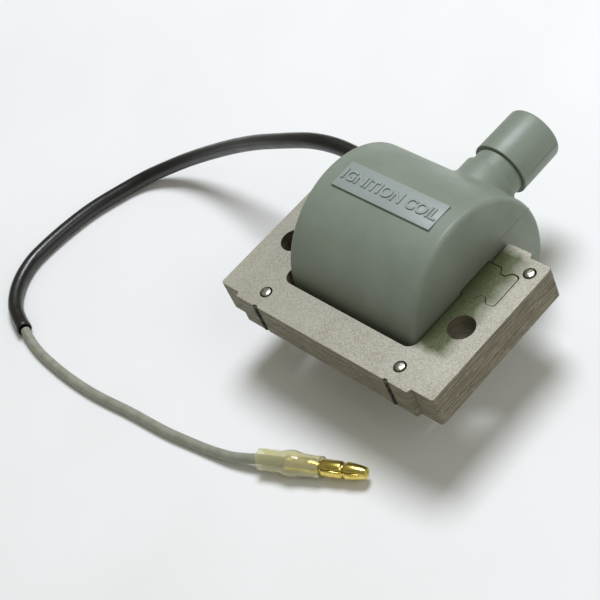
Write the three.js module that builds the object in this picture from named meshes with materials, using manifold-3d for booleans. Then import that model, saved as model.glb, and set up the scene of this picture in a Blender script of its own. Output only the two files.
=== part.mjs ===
// Ignition coil for a small engine: a riveted stack of U laminations closed by a tongue stack,
// a moulded drum with the two windings on the tongue, a high-tension tower with a screw gland,
// and a sleeved low-tension lead that ends in a bullet terminal.
// Millimetres, +Z up. X runs along the drum, +Y towards the tower.
// The origin is on the underside of the core, at the middle of its front bar.

import * as THREE from 'three';
import { mergeVertices } from 'three/addons/utils/BufferGeometryUtils.js';
import Module from 'manifold-3d';

const wasm = await Module();
wasm.setup();

// Core.
const CORE_LENGTH = 66;
const FRONT_BAR = 9;
const ARM_WIDTH = 12.9;
const ARM_BEYOND_AXIS = 11; // drum's axis to the ends of the arms
const LAMINATIONS = 9;
const LAMINATION = 0.95;
const VARNISH = 0.03; // insulating coat between two laminations
const CORNER_RELIEF = { length: 6.4, depth: 1.1, ramp: 0.5 };
const CORNER_ROUND = 0.8;
const WINDOW_ROUND = 2.5;
const WELD_NOTCH = { inset: 12.6, width: 1.6, depth: 0.4 };
const BOLT_HOLE = { radius: 3.2, inset: 7.2, setback: 19 };
const RIVET = { radius: 1.2, clearance: 0.3, proud: 0.35, chamfer: 0.25 };
const FRONT_RIVET = { inset: 12.1, setback: 4.4 };
const BACK_RIVET = { inset: 3.4, beyondKey: 1.9 };

// Tongue through the drum, and the jigsaw keys at its ends, measured from the arm's inner edge.
const TONGUE_WIDTH = 9.5;
const KEY = { shoulder: 2.9, neckStart: 3.8, neckEnd: 5.1, headStart: 6.3, length: 8.3 };
const KEY_NECK_WIDTH = 6.4;
const KEY_HEAD_WIDTH = 9;
const KEY_ROUND = 0.9;
const KEY_CLEARANCE = 0.15;

// Moulded drum between the arms, open at its -X end, where the resin is poured in.
const DRUM_RADIUS = 21;
const DRUM_FRONT_GAP = 1.1;
const CLOSED_END_GAP = 0.7;
const OPEN_END_GAP = 1.5;
const DRUM_WALL = 1.9;
const DRUM_END_WALL = 2.2;
const EDGE_ROUND = 1.2;
const LABEL_PLATE = { margin: 4.4, width: 7.4, height: 0.25 };
const SLOT_CLEARANCE = 0.2;

// High-tension tower and its screw gland.
const TOWER = { offset: 5.7, rise: 6.6 }; // from the drum's middle, and above its axis
const NECK_LENGTH = 1.1; // beyond the drum's radius
const SHOULDER_LENGTH = 3.6;
const SPIGOT_RADIUS = 5.5;
const SHOULDER_STEP = 0.6; // out from the spigot
const NECK_STEP = 0.8; // out from the shoulder
const CABLE_BORE = 3.9;
const SOCKET_FLOOR = 0.3; // socket's bottom beyond the drum's radius
const CAP = { length: 12.7, wall: 1.2, endWall: 1.4, round: 0.8, mouthRound: 0.4, draft: 0.1 };
const THREAD_CLEARANCE = 0.3;
const SEAL = { grip: 0.2, length: 3 }; // grip: how much smaller than the cable's bore its hole is
const WASHER = { grip: 0.1, thickness: 0.6 };
const GLAND_GAP = 0.05; // between the cap, the washer and the seal

// Windings and what they are wound on, from the outside in and from the inside out.
const LAYER_GAP = 0.3; // between one layer of the drum's contents and the next
const WINDING_GAP = 0.1;
const POTTING_DEPTH = 0.6; // resin's face below the drum's open rim
const POTTING_END = 2.4;
const POTTING_WALL = 2.3;
const BOBBIN_MARGIN = 0.8; // bobbins to the drum's closed end
const BOBBIN_WALL = 0.8;
const FLANGE = 0.8;
const FLANGE_OVER_WINDING = 0.4;
const PRIMARY_DEPTH = 0.75; // wound over the corners of its bobbin
const INSULATION_WALL = 0.8;
const SECONDARY_SECTIONS = 6;
const EARTH_STRIP = { length: 10.6, width: 3, thickness: 0.2 };
const CONTACT = { radius: 1.2, headRadius: 2.2, headLength: 0.8, headGap: 0.1, reach: 3.7, point: 3 };
const TAIL = { radius: 0.35, clearance: 0.7 }; // clearance: to its section's flanges

// Low-tension lead: the routes are in the frame of the origin, and the lead lies
// on the level of the drum's underside.
const LEAD_SLEEVE_RADIUS = 1.95;
const LEAD_WIRE_RADIUS = 1.2;
const LEAD_SLEEVE_ROUTE = [
  [-18.4, 36.9, 16.7], [-26.6, 37.2, 16.7], [-32.5, 37.0, 16.2], [-38.4, 36.5, 15], [-44.9, 35.9, 12.7],
  [-52.1, 35.3, 9.7], [-60.4, 34.8, 5.9], [-70.4, 33.9, 0.8], [-80.6, 32.1, -4.5], [-89.4, 29.5, -8.9],
  [-96.4, 25.9, -12.1], [-101, 22, -13.8], [-103.8, 17.8, -14.5], [-105.6, 13.5, -14.6], [-107.3, 8.9, -14.6],
  [-108.6, 4.1, -14.6], [-109.4, -0.7, -14.6], [-109.9, -5.5, -14.6], [-110.1, -10.2, -14.6],
  [-109.9, -14.6, -14.6], [-108.8, -18.7, -14.6], [-107, -22.4, -14.6], [-104.4, -25.8, -14.6],
  [-101.2, -28.5, -14.6], [-97.3, -30.4, -14.6], [-93, -31.9, -14.6],
];
const LEAD_WIRE_ROUTE = [
  [-92.7, -32, -14.6], [-88.4, -33.4, -15.2], [-84, -34.4, -15.4], [-79, -35, -15.4], [-74, -35.4, -15.4],
  [-69, -35.6, -15.4], [-64, -35.6, -15.4], [-59.5, -35.4, -15.4], [-55, -35, -15.4], [-50.5, -34.5, -15.4],
  [-46.5, -34.1, -15.4], [-42, -33.8, -15.4], [-37.6, -33.5, -15.4], [-33.4, -33.1, -15.4],
  [-29.3, -32.5, -15.4], [-25.4, -31.9, -15.4], [-21.7, -31.3, -15.3], [-18.1, -30.6, -15],
  [-14.6, -29.8, -14.6], [-11, -28.5, -14.1], [-7.4, -27, -13.6], [-1.3, -24.4, -13.5],
];
const TERMINAL_START = [-7.4, -27, -13.5]; // open end of the terminal's sleeve
const TERMINAL_HEADING = 23.1; // degrees from +X towards +Y
const TERMINAL_SLEEVE = { radius: 2.5, wall: 0.35, length: 15.8, swell: 0.6 };
const SWELL = { start: 5.6, middle: 8.2, end: 10.6 }; // over the crimp
const CRIMP = { start: 6.9, end: 14.5, radius: 1.8 }; // distances from the sleeve's open end
const BULLET = { start: 15.3, barrelStart: 15.8, barrelEnd: 20.6, waist: 21.2, head: 22, end: 26.9 };
const BULLET_RADIUS = 2;
const WAIST_RADIUS = 1.5;
const NOSE_RADIUS = 1.5;

// Facets round the curves.
const DRUM_SIDES = 56;
const TOWER_SIDES = 32;
const INNER_SIDES = 32;
const BOLT_HOLE_SIDES = 16;
const RIVET_HOLE_SIDES = 8;
const SMALL_SIDES = 12;
const LEAD_SIDES = 8;
const LEAD_STEPS = 30;
const TERMINAL_SIDES = 16;
const TAIL_SIDES = 8;
const ROUND_STEPS = 3;
const CORNER_STEPS = 2;

const OVERSHOOT = 1; // how far a cut runs past the face it opens
const MERGE_WITHIN = 1e-4; // points closer than this are one point

// Worked out from the sizes above. Places are from the drum's axis and the middle of the core.
const PITCH = LAMINATION + VARNISH;
const STACK = LAMINATIONS * PITCH - VARNISH;
const FRONT = -(FRONT_BAR + DRUM_FRONT_GAP + DRUM_RADIUS);
const ARM_INNER = CORE_LENGTH / 2 - ARM_WIDTH;
const CLOSED_END = ARM_INNER - CLOSED_END_GAP;
const OPEN_END = OPEN_END_GAP - ARM_INNER;
const DRUM_MIDDLE = (CLOSED_END + OPEN_END) / 2;
const TONGUE_SLOT = [TONGUE_WIDTH + 2 * SLOT_CLEARANCE, STACK + 2 * SLOT_CLEARANCE];

const TOWER_X = DRUM_MIDDLE + TOWER.offset;
const SHOULDER_RADIUS = SPIGOT_RADIUS + SHOULDER_STEP;
const NECK_RADIUS = SHOULDER_RADIUS + NECK_STEP;
const NECK_END = DRUM_RADIUS + NECK_LENGTH;
const SHOULDER_END = NECK_END + SHOULDER_LENGTH;
const CAP_END = SHOULDER_END + CAP.length;
const CAP_BORE = SPIGOT_RADIUS + THREAD_CLEARANCE;
const CAP_RADIUS = CAP_BORE + CAP.wall;
const WASHER_START = CAP_END - CAP.endWall - GLAND_GAP - WASHER.thickness;
const SEAL_START = WASHER_START - GLAND_GAP - SEAL.length;
const SPIGOT_END = SEAL_START - THREAD_CLEARANCE;
const SOCKET_START = DRUM_RADIUS + SOCKET_FLOOR;

const CAVITY_RADIUS = DRUM_RADIUS - DRUM_WALL;
const CAVITY_END = CLOSED_END - DRUM_END_WALL;
const POTTING_RADIUS = CAVITY_RADIUS - LAYER_GAP;
const POTTING_FACE = OPEN_END + POTTING_DEPTH;
const CONTENTS_RADIUS = POTTING_RADIUS - POTTING_WALL;
const SECONDARY_FLANGE = CONTENTS_RADIUS - LAYER_GAP;
const SECONDARY_RADIUS = SECONDARY_FLANGE - FLANGE_OVER_WINDING;
const BOBBIN_START = POTTING_FACE + POTTING_END + LAYER_GAP;
const BOBBIN_END = CAVITY_END - BOBBIN_MARGIN;
const BOBBIN_BORE = [TONGUE_SLOT[0], STACK + 2 * (EARTH_STRIP.thickness + SLOT_CLEARANCE)];
const PRIMARY_TUBE = BOBBIN_BORE.map((size) => size + 2 * BOBBIN_WALL);
const PRIMARY_RADIUS = Math.hypot(...PRIMARY_TUBE) / 2 + PRIMARY_DEPTH;
const INSULATION_BORE = PRIMARY_RADIUS + FLANGE_OVER_WINDING + LAYER_GAP;
const SECONDARY_BORE = INSULATION_BORE + INSULATION_WALL + LAYER_GAP;
const SECONDARY_TUBE = SECONDARY_BORE + BOBBIN_WALL;
const SECTION_PITCH = (BOBBIN_END - BOBBIN_START - FLANGE) / SECONDARY_SECTIONS;
const FLANGE_AT_CONTACT = Math.sqrt(SECONDARY_FLANGE ** 2 - (TOWER.rise - CONTACT.headRadius) ** 2);
const CONTACT_START = FLANGE_AT_CONTACT + LAYER_GAP;
const CONTACT_HEAD_END = CONTACT_START + CONTACT.headLength;

// Finishes.
const finish = (color, roughness, metalness = 0) =>
  new THREE.MeshStandardMaterial({ color, roughness, metalness });
const SILICON_STEEL = finish(0xb9b4a8, 0.45, 0.9);
const BRIGHT_STEEL = finish(0xc9c7c0, 0.3, 1);
const GREY_PLASTIC = finish(0x7f8a80, 0.5);
const POTTING_RESIN = finish(0x5d5f4a, 0.35);
const NYLON = finish(0xd9d3c0, 0.6);
const COPPER = finish(0xb5673a, 0.35, 1);
const BRASS = finish(0xc8a63c, 0.25, 1);
const RUBBER = finish(0x1d1d1b, 0.85);
const BLACK_SLEEVING = finish(0x1f1d19, 0.3);
const GREY_INSULATION = finish(0xa3a496, 0.45);
const CLEAR_SLEEVING = finish(0xd6d2a4, 0.2);

// Outlines.
const outline = (points, holes = []) => {
  const shape = new THREE.Shape(points.map(([x, y]) => new THREE.Vector2(x, y)));
  shape.holes = holes;
  return shape;
};
const arc = ([x, y], radius, from, to, steps) => Array.from({ length: steps + 1 }, (_, i) => {
  const angle = THREE.MathUtils.degToRad(from + ((to - from) * i) / steps);
  return [x + radius * Math.cos(angle), y + radius * Math.sin(angle)];
});
const circle = (radius, sides, { at = [0, 0], holes = [] } = {}) =>
  outline(arc(at, radius, 0, 360, sides).slice(1), holes);
const rectangle = ([width, height], { at = [0, 0], holes = [] } = {}) => outline(
  [[-1, -1], [1, -1], [1, 1], [-1, 1]].map(([x, y]) => [at[0] + (x * width) / 2, at[1] + (y * height) / 2]),
  holes,
);
const mirrorX = (points) => points.map(([x, y]) => [-x, y]).reverse();
const mirrorY = (points) => points.map(([x, y]) => [x, -y]).reverse();

// Prisms and turned solids along an axis. An outline across X is drawn in YZ, and one across Y in ZX.
const UNIT = [new THREE.Vector3(1, 0, 0), new THREE.Vector3(0, 1, 0), new THREE.Vector3(0, 0, 1)];
const TURN = {
  x: new THREE.Matrix4().makeBasis(UNIT[1], UNIT[2], UNIT[0]),
  y: new THREE.Matrix4().makeBasis(UNIT[2], UNIT[0], UNIT[1]),
  z: new THREE.Matrix4(),
};
function prism(shape, axis, from, to) {
  const body = new THREE.ExtrudeGeometry(shape, { depth: to - from, bevelEnabled: false });
  return body.translate(0, 0, from).applyMatrix4(TURN[axis]);
}
// The profile is (radius, distance) points, in the order of rising distance.
function turned(profile, axis, sides) {
  const body = new THREE.LatheGeometry(profile.map(([r, d]) => new THREE.Vector2(r, d)), sides);
  return body.rotateX(Math.PI / 2).applyMatrix4(TURN[axis]);
}

// Joins and cuts.
function solidOf(geometry) {
  const bare = new THREE.BufferGeometry();
  bare.setAttribute('position', geometry.getAttribute('position'));
  bare.setIndex(geometry.getIndex());
  const merged = mergeVertices(bare, MERGE_WITHIN);
  const index = merged.getIndex().array;
  const triangles = [];
  for (let i = 0; i < index.length; i += 3) {
    const [a, b, c] = index.slice(i, i + 3);
    if (a !== b && b !== c && c !== a) triangles.push(a, b, c);
  }
  return new wasm.Manifold(new wasm.Mesh({
    numProp: 3,
    vertProperties: merged.getAttribute('position').array,
    triVerts: new Uint32Array(triangles),
  }));
}
function geometryOf(solid) {
  const { vertProperties, triVerts } = solid.getMesh();
  const geometry = new THREE.BufferGeometry();
  geometry.setAttribute('position', new THREE.BufferAttribute(vertProperties, 3));
  geometry.setIndex(new THREE.BufferAttribute(triVerts, 1));
  return geometry;
}
const join = (...pieces) => geometryOf(pieces.map(solidOf).reduce((whole, piece) => whole.add(piece)));
const cut = (base, ...tools) => geometryOf(
  tools.map(solidOf).reduce((left, tool) => left.subtract(tool), solidOf(base)));

// Core: laminations drawn in XY about the drum's axis.
function keyOutline(clearance) {
  const x = (distance) => ARM_INNER + distance;
  const half = (width) => width / 2 + clearance;
  const corner = [x(KEY.length) + clearance - KEY_ROUND, half(KEY_HEAD_WIDTH) - KEY_ROUND];
  return [
    [x(KEY.shoulder) + clearance, half(TONGUE_WIDTH)],
    [x(KEY.neckStart) + clearance, half(KEY_NECK_WIDTH)],
    [x(KEY.neckEnd) - clearance, half(KEY_NECK_WIDTH)],
    [x(KEY.headStart) - clearance, half(KEY_HEAD_WIDTH)],
    ...arc(corner, KEY_ROUND, 90, 0, CORNER_STEPS),
  ];
}

function coreLamination() {
  const side = CORE_LENGTH / 2;
  const notch = side - WELD_NOTCH.inset;
  const flat = WELD_NOTCH.width / 2;
  const relief = side - CORNER_RELIEF.length;
  const ramp = relief + CORNER_RELIEF.ramp;
  const cornerInset = CORNER_RELIEF.depth + CORNER_ROUND;
  const slot = TONGUE_WIDTH / 2 + KEY_CLEARANCE;
  const socket = keyOutline(KEY_CLEARANCE);
  const window = FRONT + FRONT_BAR;
  const right = [
    [notch - flat, FRONT],
    [notch - flat / 2, FRONT + WELD_NOTCH.depth],
    [notch + flat / 2, FRONT + WELD_NOTCH.depth],
    [notch + flat, FRONT],
    [relief, FRONT],
    [ramp, FRONT + CORNER_RELIEF.depth],
    ...arc([side - CORNER_ROUND, FRONT + cornerInset], CORNER_ROUND, -90, 0, CORNER_STEPS),
    ...arc([side - CORNER_ROUND, ARM_BEYOND_AXIS - cornerInset], CORNER_ROUND, 0, 90, CORNER_STEPS),
    [ramp, ARM_BEYOND_AXIS - CORNER_RELIEF.depth],
    [relief, ARM_BEYOND_AXIS],
    [ARM_INNER, ARM_BEYOND_AXIS],
    [ARM_INNER, slot],
    ...socket,
    ...mirrorY(socket),
    [ARM_INNER, -slot],
    ...arc([ARM_INNER - WINDOW_ROUND, window + WINDOW_ROUND], WINDOW_ROUND, 0, -90, ROUND_STEPS),
  ];
  const holes = [
    ...boltPlaces.map((at) => circle(BOLT_HOLE.radius, BOLT_HOLE_SIDES, { at })),
    ...rivetPlaces.map((at) => circle(RIVET.radius + RIVET.clearance, RIVET_HOLE_SIDES, { at })),
  ];
  return prism(outline([...right, ...mirrorX(right)], holes), 'z', 0, LAMINATION);
}

function tongueLamination() {
  const key = keyOutline(0).reverse();
  const right = [...mirrorY(key), ...key];
  return prism(outline([...right, ...mirrorX(right)]), 'z', 0, LAMINATION);
}

const boltPlaces = [-1, 1].map((sign) => [
  sign * (CORE_LENGTH / 2 - BOLT_HOLE.inset),
  FRONT + BOLT_HOLE.setback,
]);
const rivetPlaces = [-1, 1].flatMap((sign) => [
  [sign * (CORE_LENGTH / 2 - FRONT_RIVET.inset), FRONT + FRONT_RIVET.setback],
  [sign * (CORE_LENGTH / 2 - BACK_RIVET.inset), KEY_HEAD_WIDTH / 2 + BACK_RIVET.beyondKey],
]);

function rivet() {
  const top = STACK / 2 + RIVET.proud;
  return turned([
    [0, -top],
    [RIVET.radius - RIVET.chamfer, -top],
    [RIVET.radius, RIVET.chamfer - top],
    [RIVET.radius, top - RIVET.chamfer],
    [RIVET.radius - RIVET.chamfer, top],
    [0, top],
  ], 'z', SMALL_SIDES);
}

// Moulded case: drum, label plate and tower in one piece.
const towerBarrel = (radius, from, to, sides = TOWER_SIDES) =>
  prism(circle(radius, sides), 'y', from, to).translate(TOWER_X, 0, TOWER.rise);

function mouldedCase() {
  const rim = (x, from, to) => arc([DRUM_RADIUS - EDGE_ROUND, x], EDGE_ROUND, from, to, ROUND_STEPS);
  const drum = turned([
    [0, OPEN_END],
    ...rim(OPEN_END + EDGE_ROUND, -90, 0),
    ...rim(CLOSED_END - EDGE_ROUND, 0, 90),
    [0, CLOSED_END],
  ], 'x', DRUM_SIDES);
  const plateSize = [CLOSED_END - OPEN_END - 2 * LABEL_PLATE.margin, LABEL_PLATE.width];
  const plate = prism(
    rectangle(plateSize, { at: [DRUM_MIDDLE, 0] }), 'z', CAVITY_RADIUS, DRUM_RADIUS + LABEL_PLATE.height);
  return cut(
    join(
      drum,
      plate,
      towerBarrel(NECK_RADIUS, 0, NECK_END),
      towerBarrel(SHOULDER_RADIUS, 0, SHOULDER_END),
      towerBarrel(SPIGOT_RADIUS, 0, SPIGOT_END),
    ),
    prism(circle(CAVITY_RADIUS, DRUM_SIDES), 'x', OPEN_END - OVERSHOOT, CAVITY_END),
    prism(rectangle(TONGUE_SLOT), 'x', 0, CLOSED_END + OVERSHOOT),
    towerBarrel(CABLE_BORE, SOCKET_START, SPIGOT_END + OVERSHOOT),
    towerBarrel(CONTACT.radius + SLOT_CLEARANCE, 0, SOCKET_START + OVERSHOOT, SMALL_SIDES),
    towerBarrel(CONTACT.headRadius + SLOT_CLEARANCE, 0, CONTACT_HEAD_END + CONTACT.headGap, SMALL_SIDES),
  );
}

// Pieces on the tower's axis.
function glandCap() {
  const start = SHOULDER_END + GLAND_GAP;
  const shell = turned([
    [0, start],
    ...arc([CAP_RADIUS - CAP.mouthRound, start + CAP.mouthRound], CAP.mouthRound, -90, 0, CORNER_STEPS),
    ...arc([CAP_RADIUS - CAP.draft - CAP.round, CAP_END - CAP.round], CAP.round, 0, 90, ROUND_STEPS),
    [0, CAP_END],
  ], 'y', TOWER_SIDES);
  return cut(
    shell,
    prism(circle(CAP_BORE, TOWER_SIDES), 'y', SHOULDER_END, CAP_END - CAP.endWall),
    prism(circle(CABLE_BORE, TOWER_SIDES), 'y', SHOULDER_END, CAP_END + OVERSHOOT),
  );
}
const glandRing = (bore, start, length) => prism(
  circle(SPIGOT_RADIUS, TOWER_SIDES, { holes: [circle(bore, TOWER_SIDES)] }), 'y', start, start + length);

function contact() {
  const shankEnd = SOCKET_START + CONTACT.reach;
  return turned([
    [0, CONTACT_START],
    [CONTACT.headRadius, CONTACT_START],
    [CONTACT.headRadius, CONTACT_HEAD_END],
    [CONTACT.radius, CONTACT_HEAD_END],
    [CONTACT.radius, shankEnd],
    [0, shankEnd + CONTACT.point],
  ], 'y', SMALL_SIDES);
}

// Drum's contents.
const disc = (radius, holes, from, to, sides = INNER_SIDES) =>
  prism(circle(radius, sides, { holes }), 'x', from, to);
const sectionStart = (i) => BOBBIN_START + i * SECTION_PITCH;

function primaryBobbin() {
  const flange = (from) => disc(
    PRIMARY_RADIUS + FLANGE_OVER_WINDING, [rectangle(BOBBIN_BORE)], from, from + FLANGE);
  const tube = rectangle(PRIMARY_TUBE, { holes: [rectangle(BOBBIN_BORE)] });
  return join(prism(tube, 'x', BOBBIN_START, BOBBIN_END), flange(BOBBIN_START), flange(BOBBIN_END - FLANGE));
}
const primaryWinding = () => disc(
  PRIMARY_RADIUS,
  [rectangle(PRIMARY_TUBE.map((size) => size + 2 * WINDING_GAP))],
  BOBBIN_START + FLANGE + WINDING_GAP,
  BOBBIN_END - FLANGE - WINDING_GAP,
);
const insulatingSleeve = () => disc(
  INSULATION_BORE + INSULATION_WALL, [circle(INSULATION_BORE, INNER_SIDES)], BOBBIN_START, BOBBIN_END);

function secondaryBobbin() {
  const chambers = Array.from({ length: SECONDARY_SECTIONS }, (_, i) => [
    [SECONDARY_FLANGE, sectionStart(i)],
    [SECONDARY_FLANGE, sectionStart(i) + FLANGE],
    [SECONDARY_TUBE, sectionStart(i) + FLANGE],
    [SECONDARY_TUBE, sectionStart(i + 1)],
  ]);
  return turned([
    [SECONDARY_BORE, BOBBIN_START],
    ...chambers.flat(),
    [SECONDARY_FLANGE, BOBBIN_END - FLANGE],
    [SECONDARY_FLANGE, BOBBIN_END],
    [SECONDARY_BORE, BOBBIN_END],
    [SECONDARY_BORE, BOBBIN_START],
  ], 'x', INNER_SIDES);
}
const secondarySection = (i) => disc(
  SECONDARY_RADIUS,
  [circle(SECONDARY_TUBE + WINDING_GAP, INNER_SIDES)],
  sectionStart(i) + FLANGE + WINDING_GAP,
  sectionStart(i + 1) - WINDING_GAP,
);

// Pin from the section under the tower to the contact's head.
function secondaryTail() {
  const section = Math.floor((TOWER_X - BOBBIN_START) / SECTION_PITCH);
  const margin = TAIL.radius + TAIL.clearance;
  const x = THREE.MathUtils.clamp(
    TOWER_X, sectionStart(section) + FLANGE + margin, sectionStart(section + 1) - margin);
  const start = Math.sqrt(SECONDARY_RADIUS ** 2 - (TOWER.rise - TAIL.radius) ** 2) + WINDING_GAP;
  const pin = circle(TAIL.radius, TAIL_SIDES, { at: [TOWER.rise, x] });
  return prism(pin, 'y', start, CONTACT_START - GLAND_GAP);
}

function potting() {
  return cut(
    disc(POTTING_RADIUS, [], POTTING_FACE, BOBBIN_END, DRUM_SIDES),
    disc(CONTENTS_RADIUS, [], POTTING_FACE + POTTING_END, BOBBIN_END + OVERSHOOT),
    prism(rectangle(BOBBIN_BORE), 'x', POTTING_FACE - OVERSHOOT, BOBBIN_END),
    towerBarrel(CONTACT.headRadius + LAYER_GAP, 0, DRUM_RADIUS, SMALL_SIDES),
  );
}

// Strip that joins the primary winding to the core, between the tongue and its bobbin.
const earthStrip = () => prism(
  rectangle([EARTH_STRIP.width, EARTH_STRIP.thickness]), 'x', OPEN_END, OPEN_END + EARTH_STRIP.length)
  .translate(0, 0, STACK / 2 + WINDING_GAP + EARTH_STRIP.thickness / 2);

// Low-tension lead.
function cord(route, radius) {
  const path = new THREE.CatmullRomCurve3(route.map((point) => new THREE.Vector3(...point)));
  return new THREE.ExtrudeGeometry(circle(radius, LEAD_SIDES), { extrudePath: path, steps: LEAD_STEPS });
}
function terminalSleeve() {
  const { radius, wall, length, swell } = TERMINAL_SLEEVE;
  const outside = [
    [radius, 0],
    [radius, SWELL.start],
    [radius + swell, SWELL.middle],
    [radius, SWELL.end],
    [radius, length],
  ];
  const inside = outside.map(([r, d]) => [r - wall, d]).reverse();
  return turned([...outside, ...inside, outside[0]], 'x', TERMINAL_SIDES);
}
const bulletTerminal = () => turned([
  [0, CRIMP.start],
  [CRIMP.radius, CRIMP.start],
  [CRIMP.radius, CRIMP.end],
  [WAIST_RADIUS, BULLET.start],
  [BULLET_RADIUS, BULLET.barrelStart],
  [BULLET_RADIUS, BULLET.barrelEnd],
  [WAIST_RADIUS, BULLET.waist],
  [BULLET_RADIUS, BULLET.head],
  [NOSE_RADIUS, BULLET.end],
  [0, BULLET.end],
], 'x', TERMINAL_SIDES);

// Assembly.
const coil = new THREE.Group();
const onAxis = new THREE.Group(); // about the drum's axis
const onTower = new THREE.Group(); // about the tower's axis
const terminal = new THREE.Group(); // along the terminal, from its sleeve's open end
onAxis.position.set(0, -FRONT - FRONT_BAR / 2, STACK / 2);
onTower.position.set(TOWER_X, 0, TOWER.rise);
terminal.position.set(...TERMINAL_START);
terminal.rotation.z = THREE.MathUtils.degToRad(TERMINAL_HEADING);
coil.add(onAxis, terminal);
onAxis.add(onTower);

function add(group, name, geometry, material, x = 0, y = 0, z = 0) {
  const mesh = new THREE.Mesh(geometry, material);
  mesh.name = name;
  mesh.position.set(x, y, z);
  group.add(mesh);
}

const uShape = coreLamination();
const tongue = tongueLamination();
for (let i = 0; i < LAMINATIONS; i += 1) {
  const bottom = i * PITCH - STACK / 2;
  add(onAxis, `core_lamination_${i + 1}`, uShape, SILICON_STEEL, 0, 0, bottom);
  add(onAxis, `tongue_lamination_${i + 1}`, tongue, SILICON_STEEL, 0, 0, bottom);
}
rivetPlaces.forEach(([x, y], i) => add(onAxis, `core_rivet_${i + 1}`, rivet(), BRIGHT_STEEL, x, y));

add(onAxis, 'case', mouldedCase(), GREY_PLASTIC);
add(onAxis, 'primary_bobbin', primaryBobbin(), NYLON);
add(onAxis, 'primary_winding', primaryWinding(), COPPER);
add(onAxis, 'insulating_sleeve', insulatingSleeve(), NYLON);
add(onAxis, 'secondary_bobbin', secondaryBobbin(), NYLON);
for (let i = 0; i < SECONDARY_SECTIONS; i += 1) {
  add(onAxis, `secondary_winding_${i + 1}`, secondarySection(i), COPPER);
}
add(onAxis, 'secondary_tail', secondaryTail(), COPPER);
add(onAxis, 'potting', potting(), POTTING_RESIN);
add(onAxis, 'earth_strip', earthStrip(), BRASS);

add(onTower, 'high_tension_contact', contact(), BRASS);
add(onTower, 'gland_cap', glandCap(), GREY_PLASTIC);
add(onTower, 'cable_seal', glandRing(CABLE_BORE - SEAL.grip, SEAL_START, SEAL.length), RUBBER);
const washer = glandRing(CABLE_BORE - WASHER.grip, WASHER_START, WASHER.thickness);
add(onTower, 'gland_washer', washer, BRIGHT_STEEL);

add(coil, 'lead_sleeve', cord(LEAD_SLEEVE_ROUTE, LEAD_SLEEVE_RADIUS), BLACK_SLEEVING);
add(coil, 'lead_wire', cord(LEAD_WIRE_ROUTE, LEAD_WIRE_RADIUS), GREY_INSULATION);
add(terminal, 'terminal_sleeve', terminalSleeve(), CLEAR_SLEEVING);
add(terminal, 'bullet_terminal', bulletTerminal(), BRASS);

export default coil;
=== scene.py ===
# Looks of a small-engine ignition coil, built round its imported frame. Metres, +Z up.
# X runs along the drum, +Y towards the high-tension tower.
import math
import random

import bmesh
import bpy
from mathutils import Matrix, Vector


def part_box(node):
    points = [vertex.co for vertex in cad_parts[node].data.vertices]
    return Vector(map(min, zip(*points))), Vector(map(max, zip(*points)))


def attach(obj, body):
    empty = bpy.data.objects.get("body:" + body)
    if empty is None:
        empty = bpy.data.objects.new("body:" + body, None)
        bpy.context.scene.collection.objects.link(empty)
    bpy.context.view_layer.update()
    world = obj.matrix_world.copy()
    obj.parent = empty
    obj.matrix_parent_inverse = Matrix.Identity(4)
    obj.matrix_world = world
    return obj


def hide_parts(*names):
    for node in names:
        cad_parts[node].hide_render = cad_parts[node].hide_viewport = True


MM = 0.001
SMOOTH_ANGLE = math.radians(40)
SHEET_ANGLE = math.radians(30)
JOINED_ANGLE = math.radians(25)
MERGE_DISTANCE = 1e-7
DRUM_STEPS = 160
TOWER_STEPS = 96
SMALL_STEPS = 48
RIVET_STEPS = 32
BEAD_STEPS = 20
CUT_LENGTH = 30 * MM  # of a cutter, to well past the piece

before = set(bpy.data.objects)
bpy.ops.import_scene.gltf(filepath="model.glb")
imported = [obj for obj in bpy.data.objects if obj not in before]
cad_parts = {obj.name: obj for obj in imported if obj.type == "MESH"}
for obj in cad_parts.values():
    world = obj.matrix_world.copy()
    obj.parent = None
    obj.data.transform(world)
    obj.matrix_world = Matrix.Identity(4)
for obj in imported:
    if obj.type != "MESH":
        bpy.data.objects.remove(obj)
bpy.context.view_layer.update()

# Places, from the frame.
CORE_LOW, CORE_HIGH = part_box("core_lamination_1")
CORE_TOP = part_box("core_lamination_9")[1].z
CASE_LOW, CASE_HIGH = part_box("case")
CAP_LOW, CAP_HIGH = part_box("gland_cap")
SEAL_LOW, SEAL_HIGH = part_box("cable_seal")
WASHER_LOW, WASHER_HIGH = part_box("gland_washer")
CONTACT_LOW, CONTACT_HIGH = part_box("high_tension_contact")
POTTING_LOW, POTTING_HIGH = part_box("potting")
DRUM_AXIS = (POTTING_LOW + POTTING_HIGH) / 2
DRUM_RADIUS = DRUM_AXIS.z - CASE_LOW.z
TOWER_AXIS = (CAP_LOW + CAP_HIGH) / 2
FLOOR_LEVEL = CASE_LOW.z

# Sizes of the looks, which the frame doesn't hold.
DRUM_WALL = 1.9 * MM
DRUM_END_WALL = 2.2 * MM
RIM_ROUND = 1.3 * MM
LAMINATION_BURR = 0.06 * MM

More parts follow.
